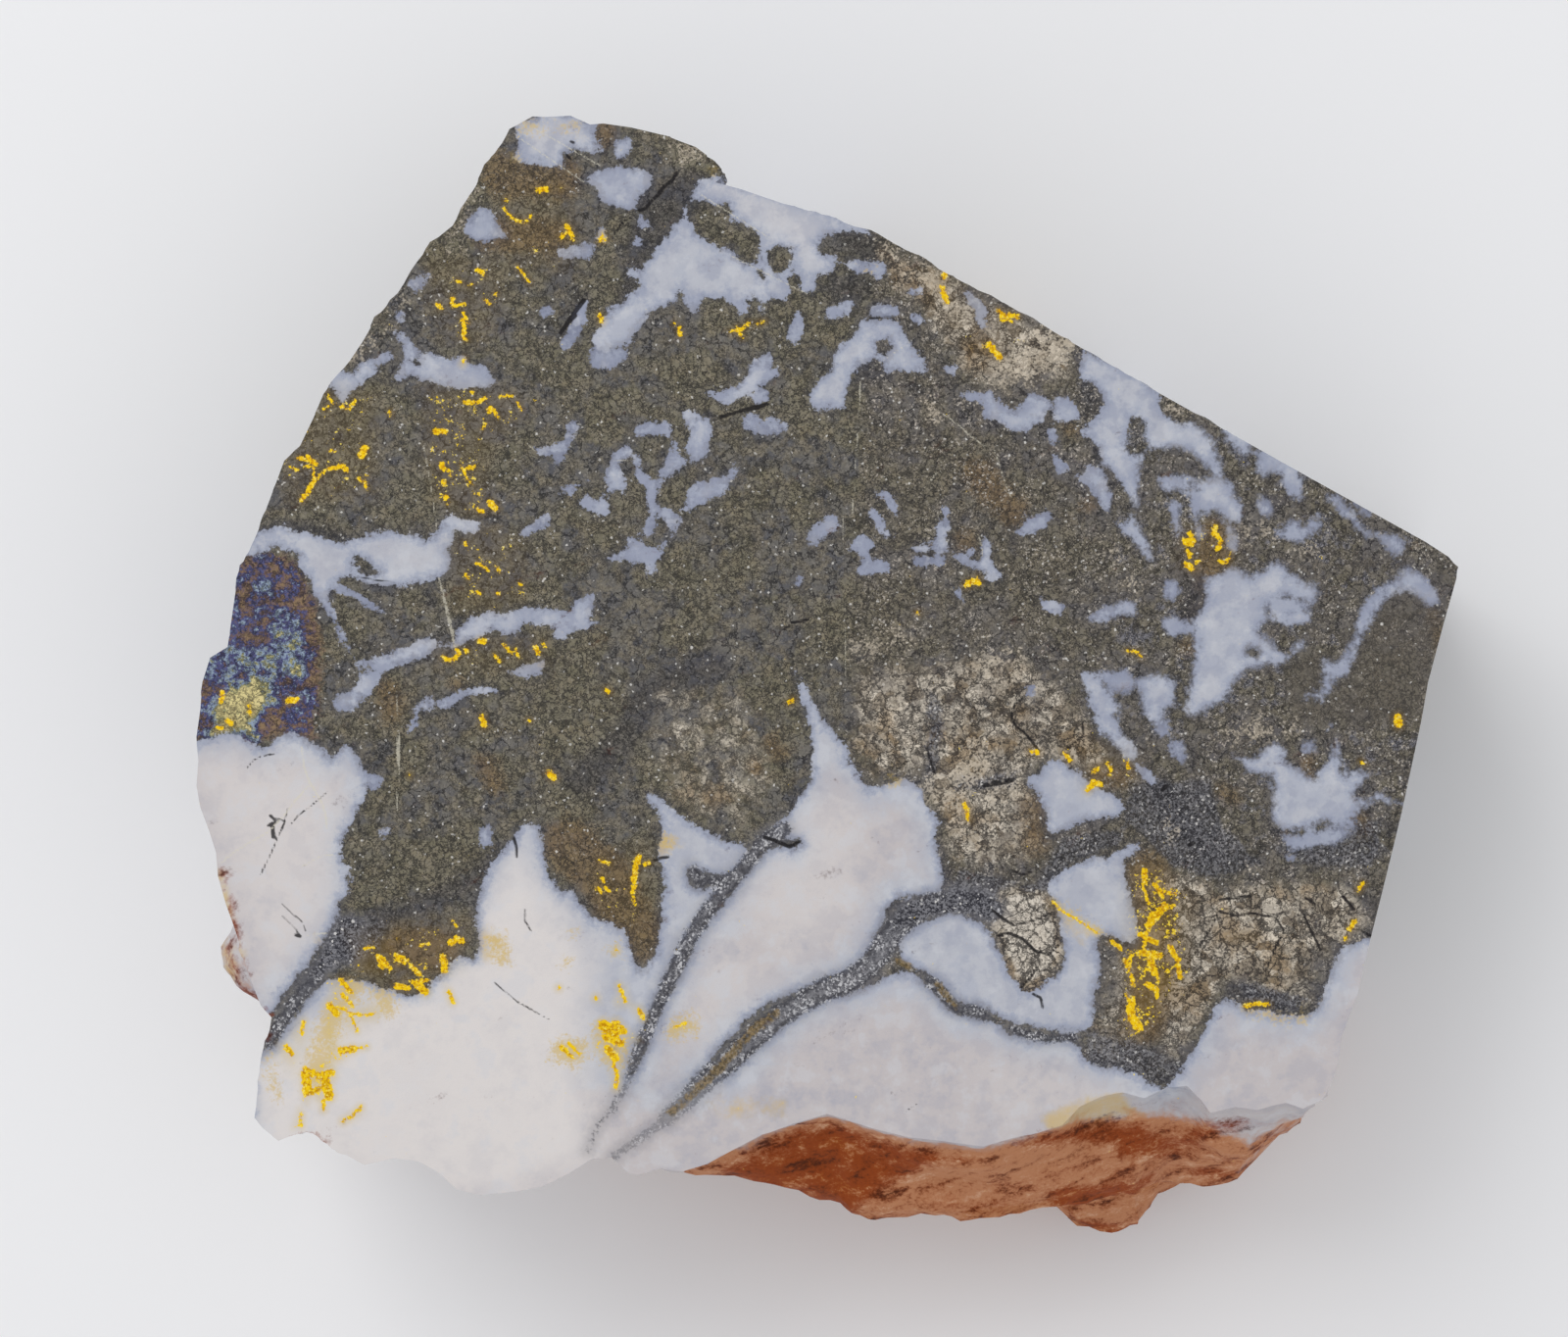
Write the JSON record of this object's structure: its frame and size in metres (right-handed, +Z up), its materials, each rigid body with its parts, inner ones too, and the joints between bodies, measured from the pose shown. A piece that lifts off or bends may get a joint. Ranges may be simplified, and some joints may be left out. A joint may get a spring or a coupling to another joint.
{
  "type": "gold in quartz ore specimen",
  "caption": "Sawn slab of quartz vein ore with grey sulphide, white quartz and native gold, ground flat on its face and broken along its lower side, for display.",
  "frame": {"origin": "on the sawn back, below the middle of the ground face", "axes": "+Z up, out of the ground face; +X along the longest extent, towards the sawn right side; +Y towards the crest at the top of the face"},
  "size_m": [0.0645, 0.0584, 0.02],
  "materials": {
    "ore": "satin"
  },
  "bodies": {
    "root": {"ore_slab": "ore"}
  },
  "joints": []
}
